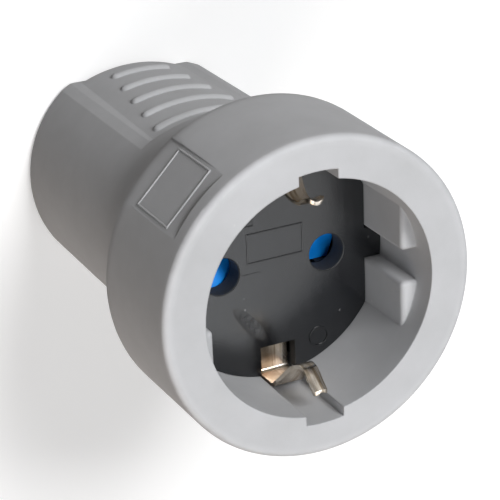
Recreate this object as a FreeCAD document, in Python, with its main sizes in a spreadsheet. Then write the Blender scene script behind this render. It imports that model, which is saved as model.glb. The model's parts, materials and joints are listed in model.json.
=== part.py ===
# In-line schuko socket in a moulded rubber body, standing on its cable end.
# Millimetres. Z runs up the socket's axis from the cable end to the mouth,
# X runs along the two pin holes and Y along the two earth clips.
import FreeCAD, Part
import math
import os
import re

import Sketcher

sizes = {
    # Rubber body, outside
    "body_length": 73.0,
    "barrel_r": 21.05,
    "barrel_length": 36.5,
    "collar_length": 21.5,
    "collar_front_r": 26.7,
    "collar_rear_r": 27.1,
    "rim_round": 1.0,
    "collar_round": 1.5,
    "rear_round": 1.3,
    # Grip panels and the label flat
    "panel_bow_r": 24.9,
    "panel_rear_y": 18.8,
    "panel_front_y": 19.2,
    "panel_length": 35.3,
    "panel_ramp": 2.0,
    "ledge_y": 16.8,
    "ledge_half": 11.6,
    "ledge_fall": 0.36,
    "rib_count": 5,
    "rib_first": 5.6,
    "rib_pitch": 6.8,
    "rib_r": 1.0,
    "rib_sink": 0.35,
    "rib_half_length": 4.7,
    "rib_growth": 0.95,
    "label_angle": 135.0,
    "label_width": 12.2,
    "label_length": 20.2,
    "label_setback": 3.3,
    "label_flat_r": 26.1,
    # Recess for the plug
    "mouth_r": 19.75,
    "recess_depth": 16.0,
    "pad_flat": 16.7,
    "pad_setback": 4.2,
    "pad_round": 0.8,
    "channel_half": 2.75,
    "groove_half": 3.35,
    "groove_r": 21.3,
    "groove_below_face": 4.0,
    # Cable end
    "seat_depth": 37.0,
    "chamber_r": 15.8,
    "chamber_length": 20.0,
    "chamber_cone": 5.0,
    "entry_r": 5.5,
    # Contact insert
    "insert_clearance": 0.15,
    "insert_corner": 1.5,
    "plate_thickness": 2.0,
    "skirt_wall": 1.8,
    "carrier_step": 2.0,
    "deck_depth": 11.0,
    "contact_base": 2.0,
    "pin_pitch": 19.0,
    "pin_hole_r": 3.15,
    "pin_hole_bevel": 0.15,
    "pin_tube": 1.6,
    "pin_tube_wall": 1.2,
    "window_half": 3.15,
    "window_inner": 14.2,
    "boss_x": 5.5,
    "boss_r": 2.6,
    "fit_gap": 0.2,
    # Earth strip
    "strip_thickness": 0.6,
    "strip_half": 2.7,
    "strip_bend": 0.6,
    "trough_bend": 1.0,
    "crest_bend": 3.4,
    "bar_drop": 3.0,
    "leg_gap": 1.55,
    "clip_root_y": 20.35,
    "clip_trough_y": 20.1,
    "clip_trough": 3.2,
    "clip_crest_y": 13.55,
    "clip_crest_setback": 6.9,
    "clip_tip_y": 16.9,
    "clip_tip_setback": 1.7,
    "tongue_x": 0.4,
    "tongue_half": 0.97,
    "neck_half": 1.3,
    # Pin contacts and terminals
    "contact_width": 6.0,
    "contact_thickness": 0.8,
    "contact_bend": 0.4,
    "contact_lead_y": 3.9,
    "contact_throat_y": 3.05,
    "contact_throat_share": 0.375,
    "contact_base_y": 3.6,
    "contact_lowering": 0.4,
    "tail_half": 2.5,
    "tail_length": 9.0,
    "terminal_wall": 1.0,
    "terminal_half_y": 3.2,
    "terminal_height": 8.0,
    "earth_terminal_y": 4.5,
    "terminal_screw_r": 1.7,
    "screw_head_r": 2.7,
    "screw_head": 2.0,
    "head_clearance": 0.8,
    # Shutter
    "post_r": 1.6,
    "post_base_r": 3.0,
    "post_base": 3.3,
    "shutter_hub_r": 4.0,
    "shutter_height": 3.6,
    "wing_margin": 0.7,
    "wing_overlap": 0.6,
    "wing_web": 0.6,
    "ramp_drop": 2.4,
    "spring_r": 3.9,
    "spring_wire_r": 0.3,
    "spring_pitch": 1.0,
    "spring_turns": 2.5,
    "spring_leg": 8.5,
    "peg_r": 0.8,
    # Cord clamp
    "cord_r": 4.6,
    "clamp_lift": 0.6,
    "clamp_width": 5.0,
    "clamp_clearance": 0.7,
    "clamp_gap": 3.5,
    "clamp_thickness": 3.0,
    "saddle_y": 8.5,
    "saddle_leg": 3.0,
    "clamp_screw_inset": 3.5,
    "small_screw_r": 1.5,
}

# Places and sizes that follow from the ones above, spelled out wherever they are named
derived = {
    "face_z": "body_length - recess_depth",
    "pad_z": "body_length - pad_setback",
    "collar_z": "body_length - collar_length",
    "bow_y": "panel_front_y - panel_bow_r",
    "plate_z": "face_z - plate_thickness",
    "deck_z": "face_z - deck_depth",
    "seat_z": "body_length - seat_depth",
    "contact_z": "seat_z + contact_base",
    "throat_z": "deck_z - contact_throat_share * (deck_z - contact_z)",
    "floor_z": "seat_z - chamber_length",
    "pin_x": "pin_pitch / 2",
    "boss_y": "sqrt((chamber_r - screw_head_r - head_clearance)^2 - boss_x^2)",
    "leg_y": "chamber_r - leg_gap",
    "bar_z": "seat_z - bar_drop",
    "run_z": "plate_z - fit_gap - strip_thickness",
    "trough_z": "face_z + clip_trough",
    "crest_z": "body_length - clip_crest_setback",
    "tip_z": "body_length - clip_tip_setback",
    "terminal_z": "seat_z - fit_gap - terminal_height",
    "terminal_mid": "terminal_z + terminal_height / 2",
    "earth_low": "bar_z - terminal_height / 2",
    "earth_high": "bar_z + strip_thickness + fit_gap + terminal_wall",
    "tube_z": "plate_z - pin_tube",
    "shutter_top": "tube_z - fit_gap",
    "shutter_low": "shutter_top - shutter_height",
    "wing_top": "shutter_top - fit_gap",
    "wing_low": "wing_top - ramp_drop - wing_web",
    "wing_r": "pin_x + pin_hole_r + wing_margin",
    "wing_half": "pin_hole_r + wing_overlap",
    "spring_z": "deck_z + spring_wire_r + fit_gap",
    "spring_rise": "spring_pitch * spring_turns",
    "clamp_z": "floor_z + clamp_lift",
    "clamp_top": "clamp_z + clamp_width",
    "clamp_mid": "clamp_z + clamp_width / 2",
    "clamp_half": "sqrt((chamber_r - clamp_clearance)^2 - saddle_y^2)",
    "clamp_screw_x": "clamp_half - clamp_screw_inset",
}

doc = FreeCAD.newDocument("schuko_coupler")
sheet = doc.addObject("Spreadsheet::Sheet", "dims")
for row, (name, size) in enumerate(sizes.items(), 1):
    sheet.set("A%d" % row, name)
    sheet.set("B%d" % row, str(size))
    sheet.setAlias("B%d" % row, name)
doc.recompute()


# Formulas and document objects

def spelled(word):
    name = word.group()
    if name in derived:
        return "(%s)" % bound(derived[name])
    return "dims." + name if name in sizes else name


def bound(text):
    return re.sub(r"[a-z_]\w*", spelled, text)


def number(text):
    return float(sheet.evalExpression(bound(text)))


def drive(piece, path, text):
    piece.setExpression(path, bound(text))


def box(name, x, y, z):
    piece = doc.addObject("Part::Box", name)
    for side, axis, (low, high) in zip(("Length", "Width", "Height"), "xyz", (x, y, z)):
        drive(piece, side, "(%s) - (%s)" % (high, low))
        drive(piece, "Placement.Base." + axis, low)
    return piece


# A cylinder that starts at the given point and runs along one axis
def rod(name, radius, start, length, axis="z"):
    turn = {"x": (0, 1, 0, 90), "y": (1, 0, 0, -90), "z": (0, 0, 1, 0)}[axis]
    piece = doc.addObject("Part::Cylinder", name)
    piece.Placement.Rotation = FreeCAD.Rotation(FreeCAD.Vector(*turn[:3]), turn[3])
    drive(piece, "Radius", radius)
    drive(piece, "Height", length)
    for coordinate, text in zip("xyz", start):
        drive(piece, "Placement.Base." + coordinate, text)
    return piece


def joined(name, pieces, refine=True):
    piece = doc.addObject("Part::MultiFuse", name)
    piece.Shapes = pieces
    piece.Refine = refine
    return piece


def common(name, pieces):
    piece = doc.addObject("Part::MultiCommon", name)
    piece.Shapes = pieces
    return piece


def cut(name, base, tools, refine=True):
    piece = doc.addObject("Part::Cut", name)
    piece.Base = base
    piece.Tool = tools[0] if len(tools) == 1 else joined(name + "_tools", tools, refine)
    piece.Refine = refine
    return piece


def grouped(name, pieces):
    piece = doc.addObject("Part::Compound", name)
    piece.Links = pieces
    return piece


def minus(text):
    return "-(%s)" % text


def around(middle, half):
    return "%s - (%s)" % (middle, half), "%s + (%s)" % (middle, half)


# Sketches: corners are formulas, and a corner with a radius starts an arc

def new_body(name):
    return doc.addObject("PartDesign::Body", name)


def origin_feature(body, role):
    return next(part for part in body.Origin.OriginFeatures if part.Role == role)


def sketch_on(body, name, plane, offset=None):
    sketch = body.newObject("Sketcher::SketchObject", name)
    sketch.AttachmentSupport = [(origin_feature(body, plane), "")]
    sketch.MapMode = "FlatFace"
    if offset:
        drive(sketch, "AttachmentOffset.Base.z", offset)
    return sketch


def constrain(sketch, text, *constraint):
    index = sketch.addConstraint(Sketcher.Constraint(*constraint, number(text)))
    drive(sketch, "Constraints[%d]" % index, text)


def fix_point(sketch, edge, end, x, y):
    for text, kind, axis in ((x, "DistanceX", -2), (y, "DistanceY", -1)):
        if text == "0":
            sketch.addConstraint(Sketcher.Constraint("PointOnObject", edge, end, axis))
        else:
            constrain(sketch, text, kind, -1, 1, edge, end)


# The arc from start to end that turns left (1) or right (-1) and is under half a circle
def short_arc(start, end, radius, turn):
    chord = end - start
    across = FreeCAD.Vector(-chord.y, chord.x, 0).normalize()
    rise = math.sqrt(max(0.0, radius ** 2 - chord.Length ** 2 / 4))
    centre = (start + end) / 2 + across * rise * turn
    first, last = (start, end) if turn > 0 else (end, start)
    begin = math.atan2(first.y - centre.y, first.x - centre.x)
    finish = math.atan2(last.y - centre.y, last.x - centre.x)
    if finish < begin:
        finish += 2 * math.pi
    return Part.ArcOfCircle(Part.Circle(centre, FreeCAD.Vector(0, 0, 1), radius), begin, finish)


def draw_loop(sketch, corners):
    points = [FreeCAD.Vector(number(corner[0]), number(corner[1]), 0) for corner in corners]
    edges = []
    for index, corner in enumerate(corners):
        start = points[index]
        end = points[(index + 1) % len(points)]
        if len(corner) == 2:
            edge = sketch.addGeometry(Part.LineSegment(start, end), False)
            ends = (1, 2)
        else:
            radius, turn = corner[2:]
            edge = sketch.addGeometry(short_arc(start, end, number(radius), turn), False)
            ends = (1, 2) if turn > 0 else (2, 1)
            constrain(sketch, radius, "Radius", edge)
        edges.append((edge, *ends))
    for index, (edge, begin, finish) in enumerate(edges):
        follower = edges[(index + 1) % len(edges)]
        sketch.addConstraint(Sketcher.Constraint("Coincident", edge, finish, *follower[:2]))
        fix_point(sketch, edge, begin, *corners[index][:2])


def draw_circle(sketch, radius, x="0", y="0"):
    centre = FreeCAD.Vector(number(x), number(y), 0)
    circle = Part.Circle(centre, FreeCAD.Vector(0, 0, 1), number(radius))
    edge = sketch.addGeometry(circle, False)
    fix_point(sketch, edge, 3, x, y)
    constrain(sketch, radius, "Radius", edge)


def extruded(body, kind, sketch, length, both_ways=False, reverse=False):
    feature = body.newObject("PartDesign::" + kind, sketch.Name + "_" + kind.lower())
    feature.Profile = sketch
    drive(feature, "Length", length)
    feature.Midplane = both_ways
    feature.Reversed = reverse
    doc.recompute()
    return feature


def turned(body, kind, sketch):
    feature = body.newObject("PartDesign::" + kind, sketch.Name + "_turned")
    feature.Profile = sketch
    feature.ReferenceAxis = (sketch, ["V_Axis"])
    feature.Angle = 360.0
    doc.recompute()
    return feature


# Fillets or chamfers the edges of the body's last feature that the test accepts
def dressed(body, kind, name, size, accept):
    base = body.Tip
    picked = [i for i, edge in enumerate(base.Shape.Edges, 1) if accept(edge)]
    feature = body.newObject("PartDesign::" + kind, name)
    feature.Base = (base, ["Edge%d" % i for i in picked])
    drive(feature, "Radius" if kind == "Fillet" else "Size", size)
    doc.recompute()
    return feature


def near(one, other):
    return abs(one - other) < 1e-4


def is_ring(edge, radius, z):
    return (isinstance(edge.Curve, Part.Circle) and near(edge.Curve.Radius, radius)
            and near(edge.Curve.Center.z, z))


# A strip of sheet metal: its right-hand side runs through the corners, its bends are rounded

def draw_strip(sketch, corners, thickness):
    gauge = number(thickness)
    outer = [FreeCAD.Vector(number(x), number(y), 0) for x, y in corners]
    runs = [(b - a).normalize() for a, b in zip(outer, outer[1:])]
    lefts = [FreeCAD.Vector(-run.y, run.x, 0) for run in runs]
    inner = []
    for index, point in enumerate(outer):
        before = lefts[max(index - 1, 0)]
        after = lefts[min(index, len(lefts) - 1)]
        inner.append(point + (before + after) * (gauge / (1 + before.dot(after))))
    outside = [sketch.addGeometry(Part.LineSegment(a, b), False) for a, b in zip(outer, outer[1:])]
    inside = [sketch.addGeometry(Part.LineSegment(a, b), False) for a, b in zip(inner, inner[1:])]
    for index in range(len(outside)):
        fix_point(sketch, outside[index], 1, *corners[index])
        sketch.addConstraint(Sketcher.Constraint("Parallel", outside[index], inside[index]))
        constrain(sketch, thickness, "Distance", outside[index], 1, inside[index])
        if index:
            for line in (outside, inside):
                sketch.addConstraint(Sketcher.Constraint("Coincident", line[index - 1], 2, line[index], 1))
    fix_point(sketch, outside[-1], 2, *corners[-1])
    for end, index in ((1, 0), (2, -1)):
        points = (outer[index], inner[index])
        cap = sketch.addGeometry(Part.LineSegment(*points), False)
        sketch.addConstraint(Sketcher.Constraint("Coincident", outside[index], end, cap, 1))
        sketch.addConstraint(Sketcher.Constraint("Coincident", inside[index], end, cap, 2))
        sketch.addConstraint(Sketcher.Constraint("Perpendicular", outside[index], cap))
    turns = [before.cross(after).z for before, after in zip(runs, runs[1:])]
    tight = [inner[i] if turn > 0 else outer[i] for i, turn in enumerate(turns, 1)]
    wide = [outer[i] if turn > 0 else inner[i] for i, turn in enumerate(turns, 1)]
    return tight, wide


# Each inner corner of the strip has its own inside radius
def bent_strip(name, corners, thickness, width, bends, offset=None):
    body = new_body(name)
    sketch = sketch_on(body, name + "_side", "YZ_Plane", offset)
    tight, wide = draw_strip(sketch, corners, thickness)
    extruded(body, "Pad", sketch, width, both_ways=True)

    def along(points):
        return lambda edge: abs(edge.tangentAt(edge.FirstParameter).x) > 0.999 and any(
            math.hypot(edge.CenterOfMass.y - p.x, edge.CenterOfMass.z - p.y) < 1e-3 for p in points)

    for bend in sorted(set(bends)):
        for side, points, radius in (("tight", tight, bend), ("wide", wide, "%s + %s" % (bend, thickness))):
            chosen = [point for point, own in zip(points, bends) if own == bend]
            dressed(body, "Fillet", "_".join((name, bend, side)), radius, along(chosen))
    return body


# Section of the socket: a circle with a flat pad at each side and a channel through each pad

def socket_outline(margin):
    flat = "(pad_flat - %s)" % margin
    radius = "(mouth_r - %s)" % margin
    channel = "(channel_half - %s)" % margin
    top = "sqrt(%s^2 - %s^2)" % (radius, flat)
    wall = "sqrt(%s^2 - %s^2)" % (radius, channel)
    left_flat, left_wall = map(minus, (flat, wall))
    low_top, low_channel = map(minus, (top, channel))
    return [
        (flat, top, radius, 1), (left_flat, top), (left_flat, channel),
        (left_wall, channel, radius, 1), (left_wall, low_channel), (left_flat, low_channel),
        (left_flat, low_top, radius, 1), (flat, low_top), (flat, low_channel),
        (wall, low_channel, radius, 1), (wall, channel), (flat, channel),
    ]


# Rubber body: one moulding with collar, flare, barrel, recess, chamber and cable entry

def rubber_core():
    body = new_body("rubber_core")
    outside = sketch_on(body, "outside", "XZ_Plane")
    step = "(collar_rear_r - barrel_r)"
    run = "(collar_z - barrel_length)"
    flare_r = "(%s^2 + %s^2) / (2 * %s)" % (run, step, step)
    draw_loop(outside, [
        ("0", "0"), ("barrel_r", "0"), ("barrel_r", "barrel_length", flare_r, -1),
        ("collar_rear_r", "collar_z"), ("collar_front_r", "body_length"), ("0", "body_length"),
    ])
    turned(body, "Revolution", outside)
    dressed(body, "Fillet", "rear_edge", "rear_round", lambda e: is_ring(e, number("barrel_r"), 0))
    dressed(body, "Fillet", "collar_edge", "collar_round",
            lambda e: is_ring(e, number("collar_rear_r"), number("collar_z")))
    dressed(body, "Fillet", "rim_edge", "rim_round",
            lambda e: is_ring(e, number("collar_front_r"), number("body_length")))

    cable_space = sketch_on(body, "cable_space", "XZ_Plane")
    draw_loop(cable_space, [
        ("0", "0"), ("entry_r", "0"), ("entry_r", "floor_z - chamber_cone"),
        ("chamber_r", "floor_z"), ("chamber_r", "seat_z"), ("0", "seat_z"),
    ])
    turned(body, "Groove", cable_space)

    mouth = sketch_on(body, "mouth", "XY_Plane", "body_length")
    draw_circle(mouth, "mouth_r")
    extruded(body, "Pocket", mouth, "pad_setback")

    socket = sketch_on(body, "socket", "XY_Plane", "pad_z")
    draw_loop(socket, socket_outline("0"))
    extruded(body, "Pocket", socket, "pad_z - deck_z")

    seat = sketch_on(body, "seat", "XY_Plane", "deck_z")
    draw_loop(seat, socket_outline("carrier_step"))
    extruded(body, "Pocket", seat, "deck_z - seat_z")

    front = number("pad_z")
    flat = number("pad_flat")
    channel = number("channel_half")

    def pad_edge(edge):
        centre = edge.CenterOfMass
        on_front = near(centre.z, front) and isinstance(edge.Curve, Part.Line)
        upright = near(abs(centre.x), flat) and near(abs(centre.y), channel)
        return on_front or upright

    dressed(body, "Fillet", "pad_edges", "pad_round", pad_edge)

    grooves = sketch_on(body, "grooves", "XY_Plane", "body_length")
    for sign, turn in (("", 1), ("-", -1)):
        inner = sign + "(pad_flat)"
        outer = sign + "sqrt(groove_r^2 - groove_half^2)"
        draw_loop(grooves, [
            ("groove_half", inner), ("groove_half", outer, "groove_r", turn),
            ("-groove_half", outer), ("-groove_half", inner),
        ])
    extruded(body, "Pocket", grooves, "recess_depth + groove_below_face")
    return body


# Space above one grip panel: a bowed floor between two ledges, with a ramp up to the flare.
# Each ledge is level beside the panel and falls away towards the barrel.
def grip_space(side):
    name = "upper_grip" if side > 0 else "lower_grip"
    ring = new_body(name + "_ring")
    drive(ring, "Placement.Base.y", "%d * bow_y" % side)
    floor = sketch_on(ring, name + "_floor", "XZ_Plane")
    rear = "(panel_rear_y - bow_y)"
    outer = "(collar_rear_r - 2 * collar_round - bow_y)"
    ramp_end = "panel_length + panel_ramp * (%s - panel_bow_r)" % outer
    draw_loop(floor, [
        (rear + " - rear_round", "0"), (outer, "0"), (outer, ramp_end), ("panel_bow_r", "panel_length"),
        (rear, "rear_round", "rear_round", -1),
    ])
    turned(ring, "Revolution", floor)
    above = new_body(name + "_side")
    ledges = sketch_on(above, name + "_ledges", "XY_Plane")
    edge = "%d * ledge_y" % side
    fallen = "%d * (ledge_y - ledge_fall * (2 * collar_rear_r - ledge_half))" % side
    top = "%d * 2 * collar_rear_r" % side
    draw_loop(ledges, [
        ("ledge_half", edge), ("2 * collar_rear_r", fallen), ("2 * collar_rear_r", top),
        ("-2 * collar_rear_r", top), ("-2 * collar_rear_r", fallen), ("-ledge_half", edge),
    ])
    extruded(above, "Pad", ledges, "body_length")
    return common(name + "_space", [ring, above])


# One rounded grip rib along the bowed floor: a ring segment with a ball at each end
def grip_rib(index, side):
    name = "rib_%d_%d" % (index, side)
    z = "(rib_first + %d * rib_pitch)" % index
    reach = "(rib_half_length + %d * rib_growth)" % index
    floor_y = "(panel_rear_y + (panel_front_y - panel_rear_y) * %s / panel_length)" % z
    ring_r = "(%s - bow_y - rib_sink)" % floor_y
    half_turn = "asin(%s / %s)" % (reach, ring_r)
    ring = doc.addObject("Part::Torus", name + "_ring")
    drive(ring, "Radius1", ring_r)
    drive(ring, "Radius2", "rib_r")
    drive(ring, "Angle3", "2 * " + half_turn)
    ring.Placement.Rotation = FreeCAD.Rotation(FreeCAD.Vector(0, 0, 1), 90)
    drive(ring, "Placement.Base.y", "%d * bow_y" % side)
    drive(ring, "Placement.Base.z", z)
    drive(ring, "Placement.Rotation.Angle", "%d deg - %s" % (180 - 90 * side, half_turn))
    balls = []
    for end in (-1, 1):
        ball = doc.addObject("Part::Sphere", name + "_ball")
        drive(ball, "Radius", "rib_r")
        drive(ball, "Placement.Base.x", "%d * %s" % (end, reach))
        drive(ball, "Placement.Base.y", "%d * (bow_y + sqrt(%s^2 - %s^2))" % (side, ring_r, reach))
        drive(ball, "Placement.Base.z", z)
        balls.append(ball)
    return [ring] + balls


# Space above the label flat, turned to its place round the collar
def label_space():
    space = doc.addObject("Part::Box", "label_space")
    space.Placement.Rotation = FreeCAD.Rotation(FreeCAD.Vector(0, 0, 1), sizes["label_angle"])
    angle = "label_angle * 1 deg"
    drive(space, "Length", "label_flat_r")
    drive(space, "Width", "label_width")
    drive(space, "Height", "label_length")
    drive(space, "Placement.Rotation.Angle", angle)
    drive(space, "Placement.Base.x", "label_flat_r * cos(%s) + label_width / 2 * sin(%s)" % (angle, angle))
    drive(space, "Placement.Base.y", "label_flat_r * sin(%s) - label_width / 2 * cos(%s)" % (angle, angle))
    drive(space, "Placement.Base.z", "body_length - label_setback - label_length")
    return space


# The faces stay as they are cut, because merging them spoils the bowed panels
def rubber_body():
    spaces = [grip_space(1), grip_space(-1), label_space()]
    carved = cut("carved_body", rubber_core(), spaces, refine=False)
    count = int(sizes["rib_count"])
    ribs = [piece for index in range(count) for side in (1, -1) for piece in grip_rib(index, side)]
    return joined("rubber_body", [carved] + ribs, refine=False)


# Contact insert: face plate and carrier, both with the socket's section less a clearance

def insert_block(body, name, margin, z, height):
    outline = sketch_on(body, name, "XY_Plane", z)
    draw_loop(outline, socket_outline(margin))
    extruded(body, "Pad", outline, height)


# The two assembly screws stand on opposite sides of the shutter's sweep
screw_spots = (("boss_x", "-boss_y"), ("-boss_x", "boss_y"))


def insert_face():
    body = new_body("face_block")
    insert_block(body, "face_outline", "insert_clearance", "deck_z", "deck_depth")
    flat = number("pad_flat - insert_clearance")

    def outer_corner(edge):
        centre = edge.CenterOfMass
        upright = abs(edge.tangentAt(edge.FirstParameter).z) > 0.999
        return upright and near(abs(centre.x), flat) and abs(centre.y) > number("channel_half * 2")

    dressed(body, "Fillet", "face_corners", "insert_corner", outer_corner)

    hollow = sketch_on(body, "hollow", "XY_Plane", "deck_z")
    radius = "(mouth_r - insert_clearance - skirt_wall)"
    wide = "(pad_flat - insert_clearance - skirt_wall)"
    high = "sqrt(%s^2 - %s^2)" % (radius, wide)
    draw_loop(hollow, [
        (wide, high, radius, 1), (minus(wide), high),
        (minus(wide), minus(high), radius, 1), (wide, minus(high)),
    ])
    extruded(body, "Pocket", hollow, "plate_z - deck_z", reverse=True)

    bosses = sketch_on(body, "bosses", "XY_Plane", "deck_z")
    for x, y in screw_spots:
        draw_circle(bosses, "boss_r", x, y)
    extruded(body, "Pad", bosses, "plate_z - deck_z")
    pilots = sketch_on(body, "pilots", "XY_Plane", "deck_z")
    for x, y in screw_spots:
        draw_circle(pilots, "small_screw_r", x, y)
    extruded(body, "Pocket", pilots, "plate_z - deck_z - plate_thickness", reverse=True)

    tubes = sketch_on(body, "pin_tubes", "XY_Plane", "tube_z")
    for x in ("pin_x", "-pin_x"):
        draw_circle(tubes, "pin_hole_r + pin_tube_wall", x)
    extruded(body, "Pad", tubes, "pin_tube")
    holes = sketch_on(body, "pin_holes", "XY_Plane", "face_z")
    for x in ("pin_x", "-pin_x"):
        draw_circle(holes, "pin_hole_r", x)
    extruded(body, "Pocket", holes, "plate_thickness + pin_tube")
    dressed(body, "Chamfer", "pin_hole_edges", "pin_hole_bevel",
            lambda e: is_ring(e, number("pin_hole_r"), number("face_z")))

    windows = sketch_on(body, "windows", "XY_Plane", "face_z")
    for sign in ("", "-"):
        near_edge = sign + "window_inner"
        far_edge = sign + "groove_r"
        draw_loop(windows, [("window_half", near_edge), ("window_half", far_edge),
                            ("-window_half", far_edge), ("-window_half", near_edge)])
    extruded(body, "Pocket", windows, "face_z - run_z + fit_gap")
    return body


def contact_carrier():
    body = new_body("carrier_block")
    insert_block(body, "carrier_outline", "(carrier_step + insert_clearance)", "seat_z", "deck_z - seat_z")
    post_z = "(deck_z + post_base)"
    stop_z = "shutter_top - shutter_height / 2"
    peg_spot = ("spring_leg - peg_r", "-(spring_r + spring_wire_r + fit_gap + peg_r)", "deck_z")
    stop_y = ("-(wing_half + fit_gap + 2 * peg_r)", "-(wing_half + fit_gap)")
    clamp_span = ("clamp_z", "clamp_top")
    solids = [
        body,
        rod("post_base", "post_base_r", ("0", "0", "deck_z"), "post_base"),
        rod("post", "post_r", ("0", "0", post_z), "shutter_top - %s" % post_z),
        rod("spring_peg", "peg_r", peg_spot, "spring_pitch * 2"),
        box("shutter_stop", ("wing_r - saddle_leg", "wing_r"), stop_y, ("deck_z", stop_z)),
        box("saddle", around("0", "clamp_half"), ("-saddle_y", "-clamp_gap"), clamp_span),
    ]
    tools = [rod("cord_way", "cord_r", ("0", "0", "clamp_z"), "clamp_width")]
    fork_way = around("0", "contact_lead_y + 2 * fit_gap")
    tail_way = around("0", "contact_thickness / 2 + fit_gap")
    strip_way = around("0", "strip_half + fit_gap")
    for sign in ("", "-"):
        x = sign + "pin_x"
        leg_x = around(sign + "(clamp_half - saddle_leg / 2)", "saddle_leg / 2")
        leg_y = ("-saddle_y", "saddle_leg - saddle_y")
        solids.append(box("saddle_leg_post", leg_x, leg_y, ("clamp_z", "seat_z")))
        chamber_x = around(x, "contact_width / 2 + fit_gap")
        tools.append(box("contact_chamber", chamber_x, fork_way, ("contact_z", "deck_z")))
        tools.append(box("tail_slot", around(x, "tail_half + fit_gap"), tail_way, ("seat_z", "contact_z")))
        strip_y = around(sign + "(leg_y - strip_thickness / 2)", "strip_thickness / 2 + fit_gap")
        tools.append(box("leg_slot", strip_way, strip_y, ("seat_z", "deck_z")))
        pilot_start = (sign + "clamp_screw_x", "-saddle_y", "clamp_mid")
        tools.append(rod("clamp_pilot", "small_screw_r", pilot_start, "saddle_y", "y"))
    for x, y in screw_spots:
        tools.append(rod("screw_way", "small_screw_r + fit_gap", (x, y, "seat_z"), "deck_z - seat_z"))
    return cut("contact_carrier", joined("carrier_solid", solids), tools)


# Earth strip: one bent strip whose ends narrow to the two clips in the recess

def earth_strip():
    arm = [
        ("leg_y", "bar_z"), ("leg_y", "run_z"), ("clip_root_y", "run_z"),
        ("clip_trough_y", "trough_z"), ("clip_crest_y", "crest_z"), ("clip_tip_y", "tip_z"),
    ]
    corners = [(minus(y), z) for y, z in reversed(arm)] + arm
    bends = ["strip_bend", "strip_bend", "strip_bend", "trough_bend", "crest_bend"]
    side = bent_strip("strip_side", corners, "strip_thickness", "2 * strip_half", bends[::-1] + bends)

    front = new_body("strip_front")
    outline = sketch_on(front, "tongue", "XZ_Plane")
    tip = "tip_z - tongue_half / 2"
    draw_loop(outline, [
        ("-strip_half", "0"), ("strip_half", "0"), ("strip_half", "trough_z"), ("tongue_x + neck_half", "crest_z"),
        ("tongue_x + tongue_half", tip, "tongue_half * 1.1", 1), ("tongue_x - tongue_half", tip),
        ("tongue_x - neck_half", "crest_z"), ("-strip_half", "trough_z"),
    ])
    extruded(front, "Pad", outline, "4 * clip_root_y", both_ways=True)
    return common("earth_strip", [side, front])


# Pin contact: a U of spring strip in its chamber with a tail down to the terminal

def pin_contact(name, sign):
    x = sign + "pin_x"
    arm = [
        ("contact_base_y", "contact_z"), ("contact_throat_y", "throat_z"),
        ("contact_lead_y", "deck_z - contact_lowering"),
    ]
    corners = [(minus(y), z) for y, z in reversed(arm)] + arm
    bends = ["contact_bend"] * 4
    fork = bent_strip(name + "_fork", corners, "contact_thickness", "contact_width", bends, x)
    tail = box(name + "_tail", around(x, "tail_half"), around("0", "contact_thickness / 2"),
               ("seat_z - tail_length", "contact_z"))
    return joined(name, [fork, tail])


# Box clamp round a contact tail, open at both ends, with its screw from the +Y side

def pin_terminal(name, sign):
    x = sign + "pin_x"
    inner_x = around(x, "tail_half + fit_gap")
    outer_x = around(x, "tail_half + fit_gap + terminal_wall")
    z = ("terminal_z", "terminal_z + terminal_height")
    shell = box(name + "_block", outer_x, around("0", "terminal_half_y"), z)
    space = box(name + "_space", inner_x, around("0", "terminal_half_y - terminal_wall"), z)
    thread = rod(name + "_thread", "terminal_screw_r", (x, "0", "terminal_mid"), "terminal_half_y", "y")
    return cut(name, shell, [space, thread])


def pin_terminal_screw(name, sign):
    x = sign + "pin_x"
    tail_face = "contact_thickness / 2"
    head = "(terminal_half_y + fit_gap)"
    length = "%s - %s" % (head, tail_face)
    shank = rod(name + "_shank", "terminal_screw_r", (x, tail_face, "terminal_mid"), length, "y")
    cap = rod(name + "_head", "screw_head_r", (x, head, "terminal_mid"), "screw_head", "y")
    return joined(name, [shank, cap])


# Box clamp round the earth strip's cross bar, with its screw from below

def earth_terminal():
    y = around("earth_terminal_y", "terminal_half_y")
    outer_x = around("0", "strip_half + fit_gap + terminal_wall")
    shell = box("earth_block", outer_x, y, ("earth_low", "earth_high"))
    space = box("earth_space", around("0", "strip_half + fit_gap"), y,
                ("earth_low + terminal_wall", "earth_high - terminal_wall"))
    thread = rod("earth_thread", "terminal_screw_r", ("0", "earth_terminal_y", "earth_low"), "terminal_wall")
    return cut("earth_terminal", shell, [space, thread])


def earth_terminal_screw():
    head = "(earth_low - fit_gap)"
    shank = rod("earth_shank", "terminal_screw_r", ("0", "earth_terminal_y", head), "bar_z - %s" % head)
    cap = rod("earth_head", "screw_head_r", ("0", "earth_terminal_y", "%s - screw_head" % head), "screw_head")
    return joined("earth_terminal_screw", [shank, cap])


# Shutter: a hub with two ramped wings under the pin holes, opposite each other

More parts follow.
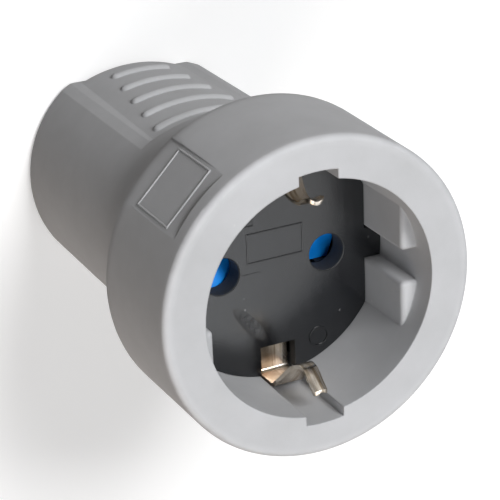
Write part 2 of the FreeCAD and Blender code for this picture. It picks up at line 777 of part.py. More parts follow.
def shutter():
    body = new_body("shutter_wings")
    ramp = sketch_on(body, "ramp", "YZ_Plane")
    draw_loop(ramp, [
        ("-wing_half", "wing_low"), ("wing_half", "wing_low"),
        ("wing_half", "wing_top"), ("-wing_half", "wing_top - ramp_drop"),
    ])
    wing = extruded(body, "Pad", ramp, "wing_r + peg_r")
    pair = body.newObject("PartDesign::PolarPattern", "wing_pair")
    pair.Originals = [wing]
    pair.Axis = (origin_feature(body, "Z_Axis"), [""])
    pair.Angle = 360.0
    pair.Occurrences = 2
    body.Tip = pair
    doc.recompute()
    rounded = common("rounded_wings", [body, rod("wing_limit", "wing_r", ("0", "0", "0"), "body_length")])
    hub = rod("hub", "shutter_hub_r", ("0", "0", "shutter_low"), "shutter_height")
    peg_y = "spring_r - spring_wire_r - fit_gap / 2 - peg_r"
    peg = rod("shutter_peg", "peg_r", ("spring_leg - peg_r", peg_y, "spring_z + spring_rise - spring_wire_r"),
              "wing_low + wing_web - spring_z - spring_rise + spring_wire_r")
    bore = rod("hub_bore", "post_r + fit_gap", ("0", "0", "shutter_low"), "shutter_height")
    return cut("shutter", joined("shutter_solid", [rounded, hub, peg]), [bore])


# Torsion spring round the shutter post: a left-hand coil with two straight legs

def shutter_spring():
    coil_r = number("spring_r")
    path = Part.makeHelix(number("spring_pitch"), number("spring_rise"), coil_r, 0, True)
    path.rotate(FreeCAD.Vector(0, 0, 0), FreeCAD.Vector(0, 0, 1), -90)
    start = FreeCAD.Vector(0, -coil_r, 0)
    section = Part.Wire(Part.makeCircle(number("spring_wire_r"), start, FreeCAD.Vector(1, 0, 0)))
    coil = doc.addObject("Part::Feature", "spring_coil")
    coil.Shape = Part.Wire(path).makePipeShell([section], True, True)
    coil.Placement.Base = FreeCAD.Vector(0, 0, number("spring_z"))
    end_z = "spring_z + spring_rise"
    low = rod("spring_low_leg", "spring_wire_r", ("0", "-spring_r", "spring_z"), "spring_leg", "x")
    high = rod("spring_high_leg", "spring_wire_r", ("0", "spring_r", end_z), "spring_leg", "x")
    return joined("shutter_spring", [coil, low, high])


# Cord clamp bar and the screws that draw it to the carrier's saddle

def cord_clamp():
    bar_y = ("clamp_gap", "clamp_gap + clamp_thickness")
    bar = box("clamp_bar", around("0", "clamp_half"), bar_y, ("clamp_z", "clamp_top"))
    tools = [rod("clamp_cord_way", "cord_r", ("0", "0", "clamp_z"), "clamp_width")]
    hole_r = "small_screw_r + fit_gap"
    for x in ("clamp_screw_x", "-clamp_screw_x"):
        tools.append(rod("clamp_hole", hole_r, (x, "clamp_gap", "clamp_mid"), "clamp_thickness", "y"))
    return cut("cord_clamp", bar, tools)


def cord_clamp_screws():
    screws = []
    head = "(clamp_gap + clamp_thickness)"
    length = "saddle_y + %s" % head
    for x in ("clamp_screw_x", "-clamp_screw_x"):
        shank = rod("clamp_shank", "small_screw_r", (x, "-saddle_y", "clamp_mid"), length, "y")
        cap = rod("clamp_head", "screw_head_r", (x, head, "clamp_mid"), "screw_head", "y")
        screws.append(joined("clamp_screw", [shank, cap]))
    return grouped("cord_clamp_screws", screws)


def insert_screws():
    screws = []
    length = "plate_z - plate_thickness - seat_z"
    for x, y in screw_spots:
        shank = rod("insert_shank", "small_screw_r", (x, y, "seat_z"), length)
        cap = rod("insert_head", "screw_head_r", (x, y, "seat_z - screw_head"), "screw_head")
        screws.append(joined("insert_screw", [shank, cap]))
    return grouped("insert_screws", screws)


nodes = {
    "rubber_body": rubber_body(),
    "insert_face": insert_face(),
    "contact_carrier": contact_carrier(),
    "earth_strip": earth_strip(),
    "earth_terminal": earth_terminal(),
    "earth_terminal_screw": earth_terminal_screw(),
    "shutter": shutter(),
    "shutter_spring": shutter_spring(),
    "cord_clamp": cord_clamp(),
    "cord_clamp_screws": cord_clamp_screws(),
    "insert_screws": insert_screws(),
}
for pole, sign in (("live", ""), ("neutral", "-")):
    nodes[pole + "_contact"] = pin_contact(pole + "_contact", sign)
    nodes[pole + "_terminal"] = pin_terminal(pole + "_terminal", sign)
    nodes[pole + "_terminal_screw"] = pin_terminal_screw(pole + "_terminal_screw", sign)
doc.recompute()

# Nothing is written unless every object was rebuilt and every piece is sound
failed = [piece.Name for piece in doc.Objects if {"Invalid", "Error"} & set(piece.State)]
failed += [node for node, piece in nodes.items() if piece.Shape.isNull() or not piece.Shape.isValid()]
if failed:
    raise RuntimeError("failed pieces: " + ", ".join(failed))

os.makedirs("parts", exist_ok=True)
for node, piece in nodes.items():
    piece.Label = node
    piece.Shape.exportStep("parts/%s.step" % node)
    print("%-22s solids %d  volume %9.1f" % (node, len(piece.Shape.Solids), piece.Shape.Volume))
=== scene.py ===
import json
import math

import bmesh
import bpy
from mathutils import Matrix, Vector


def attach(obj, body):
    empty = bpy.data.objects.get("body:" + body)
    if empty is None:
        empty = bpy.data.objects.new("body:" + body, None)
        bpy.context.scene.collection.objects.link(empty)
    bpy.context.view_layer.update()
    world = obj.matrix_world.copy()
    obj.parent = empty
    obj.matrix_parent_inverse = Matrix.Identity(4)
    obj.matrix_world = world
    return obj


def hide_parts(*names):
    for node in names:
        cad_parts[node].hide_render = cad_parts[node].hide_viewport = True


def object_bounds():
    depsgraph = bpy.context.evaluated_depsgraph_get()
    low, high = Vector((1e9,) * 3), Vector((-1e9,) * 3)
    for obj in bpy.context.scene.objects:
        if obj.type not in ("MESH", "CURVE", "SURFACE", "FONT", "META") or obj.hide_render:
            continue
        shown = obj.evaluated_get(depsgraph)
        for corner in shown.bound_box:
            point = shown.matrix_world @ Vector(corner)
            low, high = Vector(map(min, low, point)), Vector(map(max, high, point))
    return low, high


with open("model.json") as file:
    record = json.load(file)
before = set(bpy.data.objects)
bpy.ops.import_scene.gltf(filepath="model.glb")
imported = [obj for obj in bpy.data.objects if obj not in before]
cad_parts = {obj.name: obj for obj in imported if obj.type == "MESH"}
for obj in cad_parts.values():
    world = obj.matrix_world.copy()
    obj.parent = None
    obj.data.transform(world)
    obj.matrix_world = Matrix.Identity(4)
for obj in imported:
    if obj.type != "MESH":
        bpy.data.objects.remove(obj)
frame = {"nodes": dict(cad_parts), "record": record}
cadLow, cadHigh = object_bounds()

mm = 0.001
black = (0, 0, 0, 1)
white = (1, 1, 1, 1)
scene = bpy.context.scene
nodes = frame["nodes"]
print("frame loaded:", len(nodes), "nodes")


# an input takes a plain value, or another node's output to link
def feed(tree, socket, value):
    if isinstance(value, bpy.types.NodeSocket):
        tree.links.new(value, socket)
    else:
        socket.default_value = value


def addNode(tree, kind, inputs=None, **options):
    node = tree.nodes.new(kind)
    for name, value in options.items():
        setattr(node, name, value)
    for name, value in (inputs or {}).items():
        feed(tree, node.inputs[name], value)
    return node


def mathNode(tree, operation, first, second=0.0, third=0.0):
    return addNode(tree, "ShaderNodeMath", {0: first, 1: second, 2: third}, operation=operation).outputs[0]


def rampNode(tree, value, low, high, lowColour=black, highColour=white):
    ramp = addNode(tree, "ShaderNodeValToRGB", {"Fac": value})
    ramp.color_ramp.elements[0].position = low
    ramp.color_ramp.elements[0].color = lowColour
    ramp.color_ramp.elements[1].position = high
    ramp.color_ramp.elements[1].color = highColour
    return ramp.outputs["Color"]


# one up to the core, then down to nothing at one
def fadeNode(tree, value, core):
    return rampNode(tree, value, core, 1.0, white, black)


# a colour mix keeps its factor in input 0, its colours in 6 and 7
def mixColours(tree, factor, first, second):
    return addNode(tree, "ShaderNodeMix", {0: factor, 6: first, 7: second}, data_type="RGBA").outputs[2]


def noiseNode(tree, place, scale, detail, roughness=0.5):
    inputs = {"Vector": place, "Scale": scale, "Detail": detail, "Roughness": roughness}
    return addNode(tree, "ShaderNodeTexNoise", inputs).outputs["Fac"]


def splitNode(tree, vector):
    return addNode(tree, "ShaderNodeSeparateXYZ", {"Vector": vector}).outputs


def lengthNode(tree, vector):
    return addNode(tree, "ShaderNodeVectorMath", {0: vector}, operation="LENGTH").outputs["Value"]


# how far a point is above or below a level, in shares of a reach
def levelNode(tree, place, level, reach):
    away = mathNode(tree, "SUBTRACT", splitNode(tree, place)["Z"], level)
    return mathNode(tree, "DIVIDE", mathNode(tree, "ABSOLUTE", away), reach)


def newGroup(name, numbers, results):
    tree = bpy.data.node_groups.new(name, "ShaderNodeTree")
    tree.interface.new_socket("Coordinates", in_out="INPUT", socket_type="NodeSocketVector")
    for label, value in numbers.items():
        tree.interface.new_socket(label, in_out="INPUT", socket_type="NodeSocketFloat").default_value = value
    for label in results:
        tree.interface.new_socket(label, in_out="OUTPUT", socket_type="NodeSocketFloat")
    return tree, tree.nodes.new("NodeGroupInput").outputs, tree.nodes.new("NodeGroupOutput").inputs


def placeGroup(tree, group, coordinates, **numbers):
    return addNode(tree, "ShaderNodeGroup", {"Coordinates": coordinates, **numbers}, node_tree=group).outputs


# moulded skin: fine pebbled height, and a slow mottle for colour and gloss
skinLook = {
    "cellShare": 0.4, "pebbleDetail": 2.0, "pebbleRough": 0.55,
    "mottleDetail": 4.0, "mottleRough": 0.6, "mottleLow": 0.3, "mottleHigh": 0.7,
}


def makeSkinGroup():
    look = skinLook
    tree, given, out = newGroup("mouldedSkin", {"Fine": 3000.0, "Broad": 90.0}, ["Height", "Mottle"])
    place = given["Coordinates"]
    pebble = noiseNode(tree, place, given["Fine"], look["pebbleDetail"], look["pebbleRough"])
    cells = addNode(tree, "ShaderNodeTexVoronoi", {"Vector": place, "Scale": given["Fine"]})
    feed(tree, out["Height"], mathNode(tree, "MULTIPLY_ADD", cells.outputs["Distance"], look["cellShare"], pebble))
    slow = noiseNode(tree, place, given["Broad"], look["mottleDetail"], look["mottleRough"])
    feed(tree, out["Mottle"], rampNode(tree, slow, look["mottleLow"], look["mottleHigh"]))
    return tree


# loose dust and lint: small uneven specks in a few of the cells
dustLook = {"frayScale": 6000.0, "frayDetail": 2.0, "core": 0.02, "edgeHighlight": 0.06}


def makeDustGroup():
    look = dustLook
    tree, given, out = newGroup("looseDust", {"Scale": 700.0, "Share": 0.1}, ["Mask"])
    place = given["Coordinates"]
    cells = addNode(tree, "ShaderNodeTexVoronoi", {"Vector": place, "Scale": given["Scale"]})
    fray = noiseNode(tree, place, look["frayScale"], look["frayDetail"])
    ragged = mathNode(tree, "MULTIPLY", cells.outputs["Distance"], fray)
    spot = rampNode(tree, ragged, look["core"], look["edgeHighlight"], white, black)
    chance = addNode(tree, "ShaderNodeSeparateColor", {"Color": cells.outputs["Color"]}).outputs["Red"]
    chosen = mathNode(tree, "LESS_THAN", chance, given["Share"])
    feed(tree, out["Mask"], mathNode(tree, "MULTIPLY", spot, chosen))
    return tree


# fine marks drawn out along one axis, as rolling and wiping leave them
marksLook = {"lineDetail": 3.0, "bandScale": 220.0, "bandDetail": 3.0, "bandLow": 0.35, "bandHigh": 0.65}


def makeMarksGroup():
    look = marksLook
    tree, given, out = newGroup("drawnMarks", {"Across": 2500.0, "Along": 60.0}, ["Marks", "Bands"])
    place = given["Coordinates"]
    stretch = addNode(tree, "ShaderNodeCombineXYZ", {
        "X": given["Across"], "Y": given["Along"], "Z": given["Along"]}).outputs[0]
    spread = addNode(tree, "ShaderNodeVectorMath", {0: place, 1: stretch}, operation="MULTIPLY").outputs[0]
    feed(tree, out["Marks"], noiseNode(tree, spread, 1.0, look["lineDetail"]))
    bands = noiseNode(tree, place, look["bandScale"], look["bandDetail"])
    feed(tree, out["Bands"], rampNode(tree, bands, look["bandLow"], look["bandHigh"]))
    return tree


# painted highlight ring: one near a round edge of given radius and height, fading over its width, where a paler band
# stands in for the light that edge catches
paintedEdgeHighlightLook = {"core": 0.2, "unevenScale": 320.0, "unevenDetail": 4.0}


def makePaintedEdgeHighlightGroup():
    look = paintedEdgeHighlightLook
    tree, given, out = newGroup("paintedEdgeHighlight", {"Radius": 0.026, "Height": 0.07, "Width": 0.001}, ["Mask"])
    parts = splitNode(tree, given["Coordinates"])
    flat = addNode(tree, "ShaderNodeCombineXYZ", {"X": parts["X"], "Y": parts["Y"]}).outputs[0]
    offset = addNode(tree, "ShaderNodeCombineXYZ", {
        "X": mathNode(tree, "SUBTRACT", lengthNode(tree, flat), given["Radius"]),
        "Y": mathNode(tree, "SUBTRACT", parts["Z"], given["Height"])}).outputs[0]
    near = mathNode(tree, "DIVIDE", lengthNode(tree, offset), given["Width"])
    uneven = noiseNode(tree, given["Coordinates"], look["unevenScale"], look["unevenDetail"])
    feed(tree, out["Mask"], mathNode(tree, "MULTIPLY", fadeNode(tree, near, look["core"]), uneven))
    return tree


skinGroup = makeSkinGroup()
dustGroup = makeDustGroup()
marksGroup = makeMarksGroup()
paintedEdgeHighlightGroup = makePaintedEdgeHighlightGroup()
print("shader groups made")


def newMaterial(name, settings):
    material = bpy.data.materials.new(name)
    material.use_nodes = True
    tree = material.node_tree
    shader = tree.nodes["Principled BSDF"]
    for label, value in settings.items():
        shader.inputs[label].default_value = value
    place = addNode(tree, "ShaderNodeTexCoord").outputs["Object"]
    return material, tree, shader, place


# colour, gloss and height of a finished surface; edgeRound softens the look of its edges
def dress(tree, shader, look, colour, gloss, height, edgeRound=None):
    feed(tree, shader.inputs["Base Color"], colour)
    feed(tree, shader.inputs["Roughness"], gloss)
    node = addNode(tree, "ShaderNodeBump", {
        "Height": height, "Strength": look["bump"], "Distance": look["bumpDepth"]})
    if edgeRound:
        soft = addNode(tree, "ShaderNodeBevel", {"Radius": edgeRound}, samples=8)
        feed(tree, node.inputs["Normal"], soft.outputs["Normal"])
    feed(tree, shader.inputs["Normal"], node.outputs["Normal"])


def addLint(tree, place, look, colour):
    specks = placeGroup(tree, dustGroup, place, Scale=look["lintScale"], Share=look["lintShare"])
    return mixColours(tree, mathNode(tree, "MULTIPLY", specks["Mask"], look["lintCover"]), colour, look["lint"])


rubberLook = {
    "pale": (0.53, 0.535, 0.55, 1), "deep": (0.46, 0.465, 0.475, 1), "fine": 2600.0, "broad": 70.0,
    "lint": (0.68, 0.68, 0.68, 1), "lintScale": 420.0, "lintShare": 0.02, "lintCover": 0.3,
    "rough": 0.62, "roughMottle": 0.12, "bump": 0.22, "bumpDepth": 0.05 * mm,
    # painted highlight: the rounded outer edge of the mouth is painted paler, in place of the light it catches
    "paintedHighlight": (0.6, 0.605, 0.62, 1), "highlightRadius": 26.4 * mm, "highlightHeight": 72.7 * mm, "highlightWidth": 1.6 * mm,
    # edges look soft all over, most of all where the collar runs out into the barrel
    "edgeRound": 0.4 * mm, "collarRound": 3 * mm, "collarEnd": 51 * mm, "collarReach": 4.2 * mm, "collarCore": 0.5,
}


def makeRubber():
    look = rubberLook
    material, tree, shader, place = newMaterial("greyRubber", {"IOR": 1.45, "Specular IOR Level": 0.28})
    skin = placeGroup(tree, skinGroup, place, Fine=look["fine"], Broad=look["broad"])
    colour = mixColours(tree, skin["Mottle"], look["deep"], look["pale"])
    # painted highlight: a paler uneven band along the mouth's rounded outer edge
    edgeHighlight = placeGroup(tree, paintedEdgeHighlightGroup, place, Radius=look["highlightRadius"], Height=look["highlightHeight"],
                     Width=look["highlightWidth"])
    colour = mixColours(tree, edgeHighlight["Mask"], colour, look["paintedHighlight"])
    colour = addLint(tree, place, look, colour)
    gloss = mathNode(tree, "MULTIPLY_ADD", skin["Mottle"], look["roughMottle"], look["rough"])
    collar = fadeNode(tree, levelNode(tree, place, look["collarEnd"], look["collarReach"]), look["collarCore"])
    extraRound = look["collarRound"] - look["edgeRound"]
    edgeRound = mathNode(tree, "MULTIPLY_ADD", collar, extraRound, look["edgeRound"])
    dress(tree, shader, look, colour, gloss, skin["Height"], edgeRound)
    return material


insertLook = {
    "pale": (0.006, 0.007, 0.009, 1), "deep": (0.003, 0.0035, 0.005, 1), "fine": 5200.0, "broad": 140.0,
    "lint": (0.24, 0.24, 0.24, 1), "lintScale": 520.0, "lintShare": 0.09, "lintCover": 0.6,
    "bump": 0.3, "bumpDepth": 0.05 * mm,
    # polished and wiped face, matt walls below it
    "faceZ": 56.93 * mm, "faceRough": 0.13, "wallRough": 0.75,
    "wipeAcross": 900.0, "wipeAlong": 90.0, "wipeRough": 0.14,
    # a dented, scratched patch beside the lower window
    "scuffAt": (-4.7 * mm, -9.7 * mm, 57.0 * mm), "scuffTurn": math.radians(-51),
    "scuffHalf": (4.6 * mm, 1.2 * mm, 1.0 * mm), "scuffCore": 0.25, "scuffRough": 0.15, "scuffDepth": 8.0,
    "scratchScale": 900.0, "scratchDetail": 5.0, "scratchRough": 0.7, "scratchLow": 0.35, "scratchHigh": 0.6,
}


# the patch's smooth dent, and the scratches in it
def addScuff(tree, place, look):
    local = addNode(tree, "ShaderNodeMapping", {
        "Vector": place, "Location": look["scuffAt"], "Rotation": (0, 0, look["scuffTurn"]),
        "Scale": look["scuffHalf"]}, vector_type="TEXTURE").outputs[0]
    patch = fadeNode(tree, lengthNode(tree, local), look["scuffCore"])
    scratch = noiseNode(tree, place, look["scratchScale"], look["scratchDetail"], look["scratchRough"])
    scratched = rampNode(tree, scratch, look["scratchLow"], look["scratchHigh"])
    return patch, mathNode(tree, "MULTIPLY", patch, scratched)


def makeInsertPlastic():
    look = insertLook
    material, tree, shader, place = newMaterial("insertPlastic", {"IOR": 1.5, "Specular IOR Level": 0.9})
    skin = placeGroup(tree, skinGroup, place, Fine=look["fine"], Broad=look["broad"])
    colour = addLint(tree, place, look, mixColours(tree, skin["Mottle"], look["deep"], look["pale"]))
    face = mathNode(tree, "GREATER_THAN", splitNode(tree, place)["Z"], look["faceZ"])
    wiped = placeGroup(tree, marksGroup, place, Across=look["wipeAcross"], Along=look["wipeAlong"])
    smoother = look["faceRough"] - look["wallRough"]
    polish = mathNode(tree, "MULTIPLY_ADD", wiped["Marks"], look["wipeRough"], smoother)
    gloss = mathNode(tree, "MULTIPLY_ADD", face, polish, look["wallRough"])
    patch, scuff = addScuff(tree, place, look)
    gloss = mathNode(tree, "ADD", gloss, mathNode(tree, "MULTIPLY", scuff, look["scuffRough"]))
    dent = mathNode(tree, "MULTIPLY", mathNode(tree, "ADD", patch, scuff), look["scuffDepth"])
    dress(tree, shader, look, colour, gloss, mathNode(tree, "SUBTRACT", skin["Height"], dent))
    return material


shutterLook = {
    "pale": (0.008, 0.31, 0.96, 1), "deep": (0.005, 0.24, 0.84, 1), "fine": 3500.0, "broad": 260.0,
    "rough": 0.12, "wipeAcross": 3000.0, "wipeAlong": 150.0, "wipeRough": 0.2, "bump": 0.06, "bumpDepth": 0.02 * mm,
}


def makeShutterBlue():
    look = shutterLook
    material, tree, shader, place = newMaterial("shutterBlue", {"IOR": 1.5})
    skin = placeGroup(tree, skinGroup, place, Fine=look["fine"], Broad=look["broad"])
    colour = mixColours(tree, skin["Mottle"], look["deep"], look["pale"])
    wiped = placeGroup(tree, marksGroup, place, Across=look["wipeAcross"], Along=look["wipeAlong"])
    gloss = mathNode(tree, "MULTIPLY_ADD", wiped["Marks"], look["wipeRough"], look["rough"])
    dress(tree, shader, look, colour, gloss, skin["Height"])
    return material


# bare and plated metals share one recipe: two tones in cloudy bands, gloss broken by drawn marks
drawnMetal = {"along": 80.0, "streak": 0.25, "bump": 0.125, "bumpDepth": 0.01 * mm}
metalLooks = {
    "platedBrass": {
        **drawnMetal, "bright": (0.86, 0.8, 0.72, 1), "dull": (0.7, 0.61, 0.49, 1), "rough": 0.22, "across": 1300.0,
        "streak": 0.08, "bump": 0.04,
        # dark drawn lines; brown in the bends at the face, partly tarnish and partly a painted reflection of the dark
        # surroundings the concave bends mirror; a few brown spots
        "line": (0.3, 0.22, 0.13, 1), "lineLow": 0.5, "lineHigh": 0.62, "lineCover": 0.8,
        "tarnishAndDarkReflection": (0.13, 0.068, 0.034, 1), "tarnishRough": 0.3, "bendZ": 57.9 * mm, "bendHalf": 3.0 * mm,
        "bendCore": 0.75, "cloudLow": 0.7, "cloudRise": 0.3, "spotScale": 900.0, "spotShare": 0.08},
    "contactBrass": {
        **drawnMetal, "bright": (0.8, 0.62, 0.3, 1), "dull": (0.5, 0.34, 0.13, 1), "rough": 0.22, "across": 2000.0},
    "springSteel": {
        **drawnMetal, "bright": (0.6, 0.6, 0.61, 1), "dull": (0.42, 0.41, 0.4, 1), "rough": 0.26, "across": 4000.0},
    "zincSteel": {
        **drawnMetal, "bright": (0.68, 0.68, 0.66, 1), "dull": (0.5, 0.48, 0.42, 1), "rough": 0.28, "across": 3000.0},
}


# gives the stained colour, whose brown in the bends is partly tarnish and partly a painted dark reflection, and what
# the tarnish adds to the roughness
def addTarnishAndDarkReflection(tree, place, look, colour, drawn):
    lines = rampNode(tree, drawn["Marks"], look["lineLow"], look["lineHigh"])
    colour = mixColours(tree, mathNode(tree, "MULTIPLY", lines, look["lineCover"]), colour, look["line"])
    # the band at the bends is partly tarnish and partly painted reflection of the dark surroundings in the concave
    # bends
    bend = fadeNode(tree, levelNode(tree, place, look["bendZ"], look["bendHalf"]), look["bendCore"])
    cloud = mathNode(tree, "MULTIPLY_ADD", drawn["Bands"], look["cloudRise"], look["cloudLow"])
    spots = placeGroup(tree, dustGroup, place, Scale=look["spotScale"], Share=look["spotShare"])
    mask = mathNode(tree, "MAXIMUM", mathNode(tree, "MULTIPLY", bend, cloud), spots["Mask"])
    return mixColours(tree, mask, colour, look["tarnishAndDarkReflection"]), mathNode(tree, "MULTIPLY", mask, look["tarnishRough"])


def makeMetal(name):
    look = metalLooks[name]
    material, tree, shader, place = newMaterial(name, {"Metallic": 1.0})
    drawn = placeGroup(tree, marksGroup, place, Across=look["across"], Along=look["along"])
    colour = mixColours(tree, drawn["Bands"], look["bright"], look["dull"])
    gloss = mathNode(tree, "MULTIPLY_ADD", drawn["Marks"], look["streak"], look["rough"])
    if "tarnishAndDarkReflection" in look:
        colour, dulled = addTarnishAndDarkReflection(tree, place, look, colour, drawn)
        gloss = mathNode(tree, "ADD", gloss, dulled)
    dress(tree, shader, look, colour, gloss, drawn["Marks"])
    return material


finishes = {
    "grey_rubber": makeRubber(), "dark_plastic": makeInsertPlastic(), "blue_plastic": makeShutterBlue(),
    "plated_brass": makeMetal("platedBrass"), "brass": makeMetal("contactBrass"),
    "spring_steel": makeMetal("springSteel"), "screw_steel": makeMetal("zincSteel"),
}


def finishNodes():
    for part in frame["record"]["subparts"]:
        piece = nodes[part["node"]]
        piece.data.materials.clear()
        piece.data.materials.append(finishes[part["material_slot"]])


finishNodes()
print("finishes:", len(finishes))


def meshObject(name, shape, material):
    mesh = bpy.data.meshes.new(name)
    shape.to_mesh(mesh)
    shape.free()
    mesh.materials.append(material)
    piece = bpy.data.objects.new(name, mesh)
    scene.collection.objects.link(piece)
    return piece


def wrapPiece(name, shape, slot):
    piece = meshObject(name, shape, finishes[slot])
    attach(piece, "socket")
    return piece


# the earth strip with its sheared edges broken, as punched and plated strip has them
stripSize = {
    "merge": 0.001 * mm, "flatAngle": math.radians(1), "slack": 0.01 * mm,
    "edge": 0.12 * mm, "segments": 3, "sharpAngle": math.radians(40),
    # cuts along the tongues, from the middle to both sides
    "tongueX": 0.4 * mm, "tongueHalf": 0.97 * mm, "cut": 0.3 * mm, "cutsEachSide": 3, "cutMerge": 0.0001 * mm,
    "dish": 0.75 * mm, "dishFrom": 67.6 * mm, "dishRun": 2.6 * mm,
    # both tongues widen at these levels, and the upper one also bends further in
    "levels": [67.6 * mm, 68.3 * mm, 69.0 * mm, 69.7 * mm], "spread": 1.06,
    "bendY": 15.0 * mm, "bendStep": math.radians(5),
}


def makeStrip():
    size = stripSize
    shape = bmesh.new()
    shape.from_mesh(nodes["earth_strip"].data)
    bmesh.ops.remove_doubles(shape, verts=shape.verts, dist=size["merge"])
    bmesh.ops.dissolve_limit(shape, angle_limit=size["flatAngle"], verts=shape.verts, edges=shape.edges)
    # cuts along and across, then both tongues are dished towards the wall
    steps = range(-size["cutsEachSide"], size["cutsEachSide"] + 1)
    planes = [((size["tongueX"] + step * size["cut"], 0, 0), (1, 0, 0)) for step in steps]
    planes += [((0, 0, level), (0, 0, 1)) for level in size["levels"]]
    for spot, normal in planes:
        bmesh.ops.bisect_plane(shape, geom=shape.verts[:] + shape.edges[:] + shape.faces[:],
                               dist=size["cutMerge"], plane_co=spot, plane_no=normal)
    for vert in shape.verts:
        rise = min(max((vert.co.z - size["dishFrom"]) / size["dishRun"], 0), 1)
        across = (vert.co.x - size["tongueX"]) / size["tongueHalf"]
        vert.co.y += math.copysign(size["dish"] * rise * across ** 2, vert.co.y)
    centred = Matrix.Translation((-size["tongueX"], 0, 0))
    bend = Matrix.Rotation(size["bendStep"], 3, "X")
    for level in size["levels"]:
        above = [vert for vert in shape.verts if vert.co.z > level + size["slack"]]
        bmesh.ops.scale(shape, verts=above, vec=(size["spread"], 1, 1), space=centred)
        upper = [vert for vert in above if vert.co.y > 0]
        bmesh.ops.rotate(shape, verts=upper, cent=(0, size["bendY"], level), matrix=bend)
    strip = wrapPiece("earthStripDressed", shape, "plated_brass")
    softened = strip.modifiers.new("brokenEdges", "BEVEL")
    softened.width = size["edge"]
    softened.segments = size["segments"]
    softened.limit_method = "ANGLE"
    softened.angle_limit = size["sharpAngle"]
    strip.data.shade_smooth()
    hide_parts("earth_strip")


makeStrip()
print("earth strip dressed")


# raised borders: a box or a ring of given line width, or a plain bar, moulded on a flat
slant = math.sqrt(0.5)
labelOut = 26.1 * slant * mm
onFace = {
    "slot": "dark_plastic", "line": 0.28 * mm, "proud": 0.18 * mm, "edge": 0.08 * mm,
    "out": (0, 0, 1), "along": (0, 1, 0),
}
faceLevel = 57 * mm
borders = {
    "labelBorder": {
        "slot": "grey_rubber", "half": (5.5 * mm, 5.6 * mm), "line": 0.54 * mm, "proud": 0.18 * mm, "edge": 0.17 * mm,
        "out": (-slant, slant, 0), "along": (0, 0, 1), "spot": (-labelOut, labelOut, 60.8 * mm)},
    "faceFrame": {**onFace, "half": (5.05 * mm, 2.6 * mm), "spot": (0.12 * mm, 3.72 * mm, faceLevel)},
    "faceFrameSmall": {**onFace, "half": (2.95 * mm, 2.1 * mm), "spot": (-6.5 * mm, 9.6 * mm, faceLevel)},
    "faceRing": {**onFace, "radius": 1.78 * mm, "line": 0.26 * mm, "spot": (7.6 * mm, -14.7 * mm, faceLevel)},
    "faceSeam": {
        **onFace, "half": (1.8 * mm, 0.11 * mm), "line": None, "proud": 0.1 * mm, "edge": 0.04 * mm,
        "spot": (-4.5 * mm, -0.68 * mm, faceLevel)},
}
borderShape = {"sunk": 0.1 * mm, "ringSegments": 48, "edgeSegments": 3, "crestAngle": 1.0}


def makeBorder(name):
    size = borders[name]
    sunk = borderShape["sunk"]
    shape = bmesh.new()
    if "radius" in size:
        bmesh.ops.create_circle(shape, cap_ends=True, segments=borderShape["ringSegments"], radius=size["radius"])
    else:
        bmesh.ops.create_grid(shape, x_segments=1, y_segments=1, size=1.0)
        bmesh.ops.scale(shape, verts=shape.verts, vec=(*size["half"], 1))
    if size["line"]:
        middle = shape.faces[:]
        bmesh.ops.inset_region(shape, faces=middle, thickness=size["line"], use_boundary=True)
        bmesh.ops.delete(shape, geom=middle, context="FACES_ONLY")
    walls = bmesh.ops.extrude_face_region(shape, geom=shape.faces[:])
    raised = [item for item in walls["geom"] if isinstance(item, bmesh.types.BMVert)]
    bmesh.ops.translate(shape, verts=raised, vec=(0, 0, size["proud"] + sunk))
    bmesh.ops.recalc_face_normals(shape, faces=shape.faces)
    crest = [edge for edge in shape.edges if all(vert in raised for vert in edge.verts)]
    crest = [edge for edge in crest if edge.calc_face_angle(0) > borderShape["crestAngle"]]
    bmesh.ops.bevel(shape, geom=crest, offset=size["edge"], segments=borderShape["edgeSegments"],
                    affect="EDGES", profile=0.5, material=-1)
    # local x runs across the border, y along it and z out of the flat
    out, along = Vector(size["out"]), Vector(size["along"])
    turn = Matrix([along.cross(out), along, out]).transposed().to_4x4()
    spot = Vector(size["spot"]) - out * sunk
    bmesh.ops.transform(shape, matrix=Matrix.Translation(spot) @ turn, verts=shape.verts)
    bmesh.ops.recalc_face_normals(shape, faces=shape.faces)
    wrapPiece(name, shape, size["slot"])


for name in borders:
    makeBorder(name)
print("borders made:", len(borders))


# studio: pale floor, soft light from over the mouth, the photograph's camera
floorLook = {
    "pale": (0.8, 0.8, 0.8, 1), "dim": (0.13, 0.12, 0.11, 1), "rough": 0.9, "half": 3.0, "gap": 0.05 * mm,
    # the camera sees it lifted near the object, and plain white further off
    "glow": (0.27, 0.27, 0.27, 1), "near": 0.15, "far": 0.5,
}


# one where the camera, or a reflection, looks at the floor or sky
def seenRays(tree):
    path = addNode(tree, "ShaderNodeLightPath").outputs
    seen = mathNode(tree, "MAXIMUM", path["Is Camera Ray"], path["Is Glossy Ray"])
    return mathNode(tree, "MAXIMUM", seen, path["Is Transmission Ray"])


def cameraRays(tree):
    return addNode(tree, "ShaderNodeLightPath").outputs["Is Camera Ray"]


def makeFloor():
    look = floorLook
    material, tree, shader, place = newMaterial("paleFloor", {"Roughness": look["rough"], "Emission Strength": 1.0})
    feed(tree, shader.inputs["Base Color"], mixColours(tree, seenRays(tree), look["dim"], look["pale"]))
    glow = rampNode(tree, lengthNode(tree, place), look["near"], look["far"], look["glow"])
    feed(tree, shader.inputs["Emission Color"], mixColours(tree, cameraRays(tree), black, glow))
    shape = bmesh.new()
    bmesh.ops.create_grid(shape, x_segments=2, y_segments=2, size=look["half"])
    bmesh.ops.translate(shape, verts=shape.verts, vec=(0, 0, cadLow.z - look["gap"]))
    floor = meshObject("studioFloor", shape, material)


# white to the camera; reflections see the sky grey near the horizon
skyLook = {
    "light": (0.065, 0.068, 0.074, 1), "pale": (0.95, 0.95, 0.95, 1), "low": (0.3, 0.3, 0.3, 1), "rise": 0.6,
}


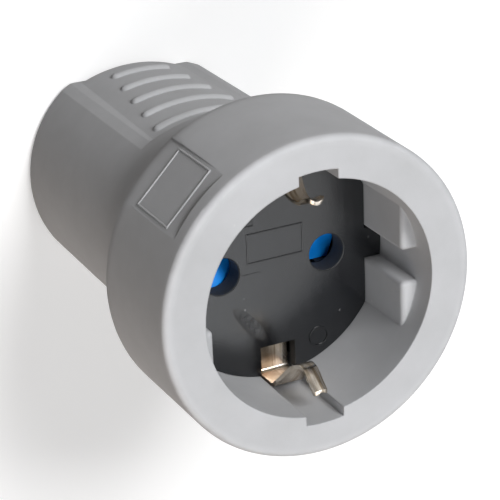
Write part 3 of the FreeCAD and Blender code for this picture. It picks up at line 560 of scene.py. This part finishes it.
def makeSky():
    look = skyLook
    world = bpy.data.worlds.new("softSky")
    scene.world = world
    world.use_nodes = True
    tree = world.node_tree
    way = addNode(tree, "ShaderNodeTexCoord").outputs["Generated"]
    mirrored = rampNode(tree, splitNode(tree, way)["Z"], 0.0, look["rise"], look["low"], look["pale"])
    seen = mixColours(tree, cameraRays(tree), mirrored, look["pale"])
    sky = mixColours(tree, seenRays(tree), look["light"], seen)
    feed(tree, tree.nodes["Background"].inputs["Color"], sky)


lampAim = (0, 0, 0.06)
lamps = {
    "overhead": {"at": (-0.5, -0.45, 1.05), "size": 0.8, "watts": 6.4, "colour": (1, 1, 1)},
    "upper": {"at": (0.19, 0.66, 1.08), "size": 0.46, "watts": 13.3, "colour": (1, 1, 1)},
    "front": {"at": (0.17, -0.46, 1.1), "size": 0.4, "watts": 0.9, "colour": (0.9, 0.95, 1)},
    "bounce": {"at": (-0.5, -0.8, 0.3), "size": 0.6, "watts": 1.5, "colour": (1, 0.72, 0.48)},
}


def makeLamps():
    for name, lamp in lamps.items():
        light = bpy.data.lights.new(name, "AREA")
        light.size = lamp["size"]
        light.energy = lamp["watts"]
        light.color = lamp["colour"]
        rig = bpy.data.objects.new(name, light)
        turn = (Vector(lampAim) - Vector(lamp["at"])).to_track_quat("-Z", "Y")
        rig.matrix_world = Matrix.Translation(lamp["at"]) @ turn.to_matrix().to_4x4()
        scene.collection.objects.link(rig)


# the camera's own axes, from matching the mouth, the pin holes and the outline
cameraPose = {
    "at": (-0.121217, 0.121527, 0.302487), "lens": 134.03, "sensor": 36, "clipStart": 0.01,
    "right": (0.89444277, -0.04020593, 0.44537131),
    "up": (0.21058235, 0.91647875, -0.34017903),
    "back": (-0.39449613, 0.39805802, 0.82820445),
}


def makeCamera():
    camera = bpy.data.objects.new("photoCamera", bpy.data.cameras.new("photoCamera"))
    camera.data.sensor_width = cameraPose["sensor"]
    camera.data.lens = cameraPose["lens"]
    camera.data.clip_start = cameraPose["clipStart"]
    axes = Matrix([cameraPose["right"], cameraPose["up"], cameraPose["back"]]).transposed()
    camera.matrix_world = Matrix.Translation(cameraPose["at"]) @ axes.to_4x4()
    scene.collection.objects.link(camera)
    scene.camera = camera


makeFloor()
makeSky()
makeLamps()
makeCamera()
scene.view_settings.view_transform = "Standard"
print("studio set")
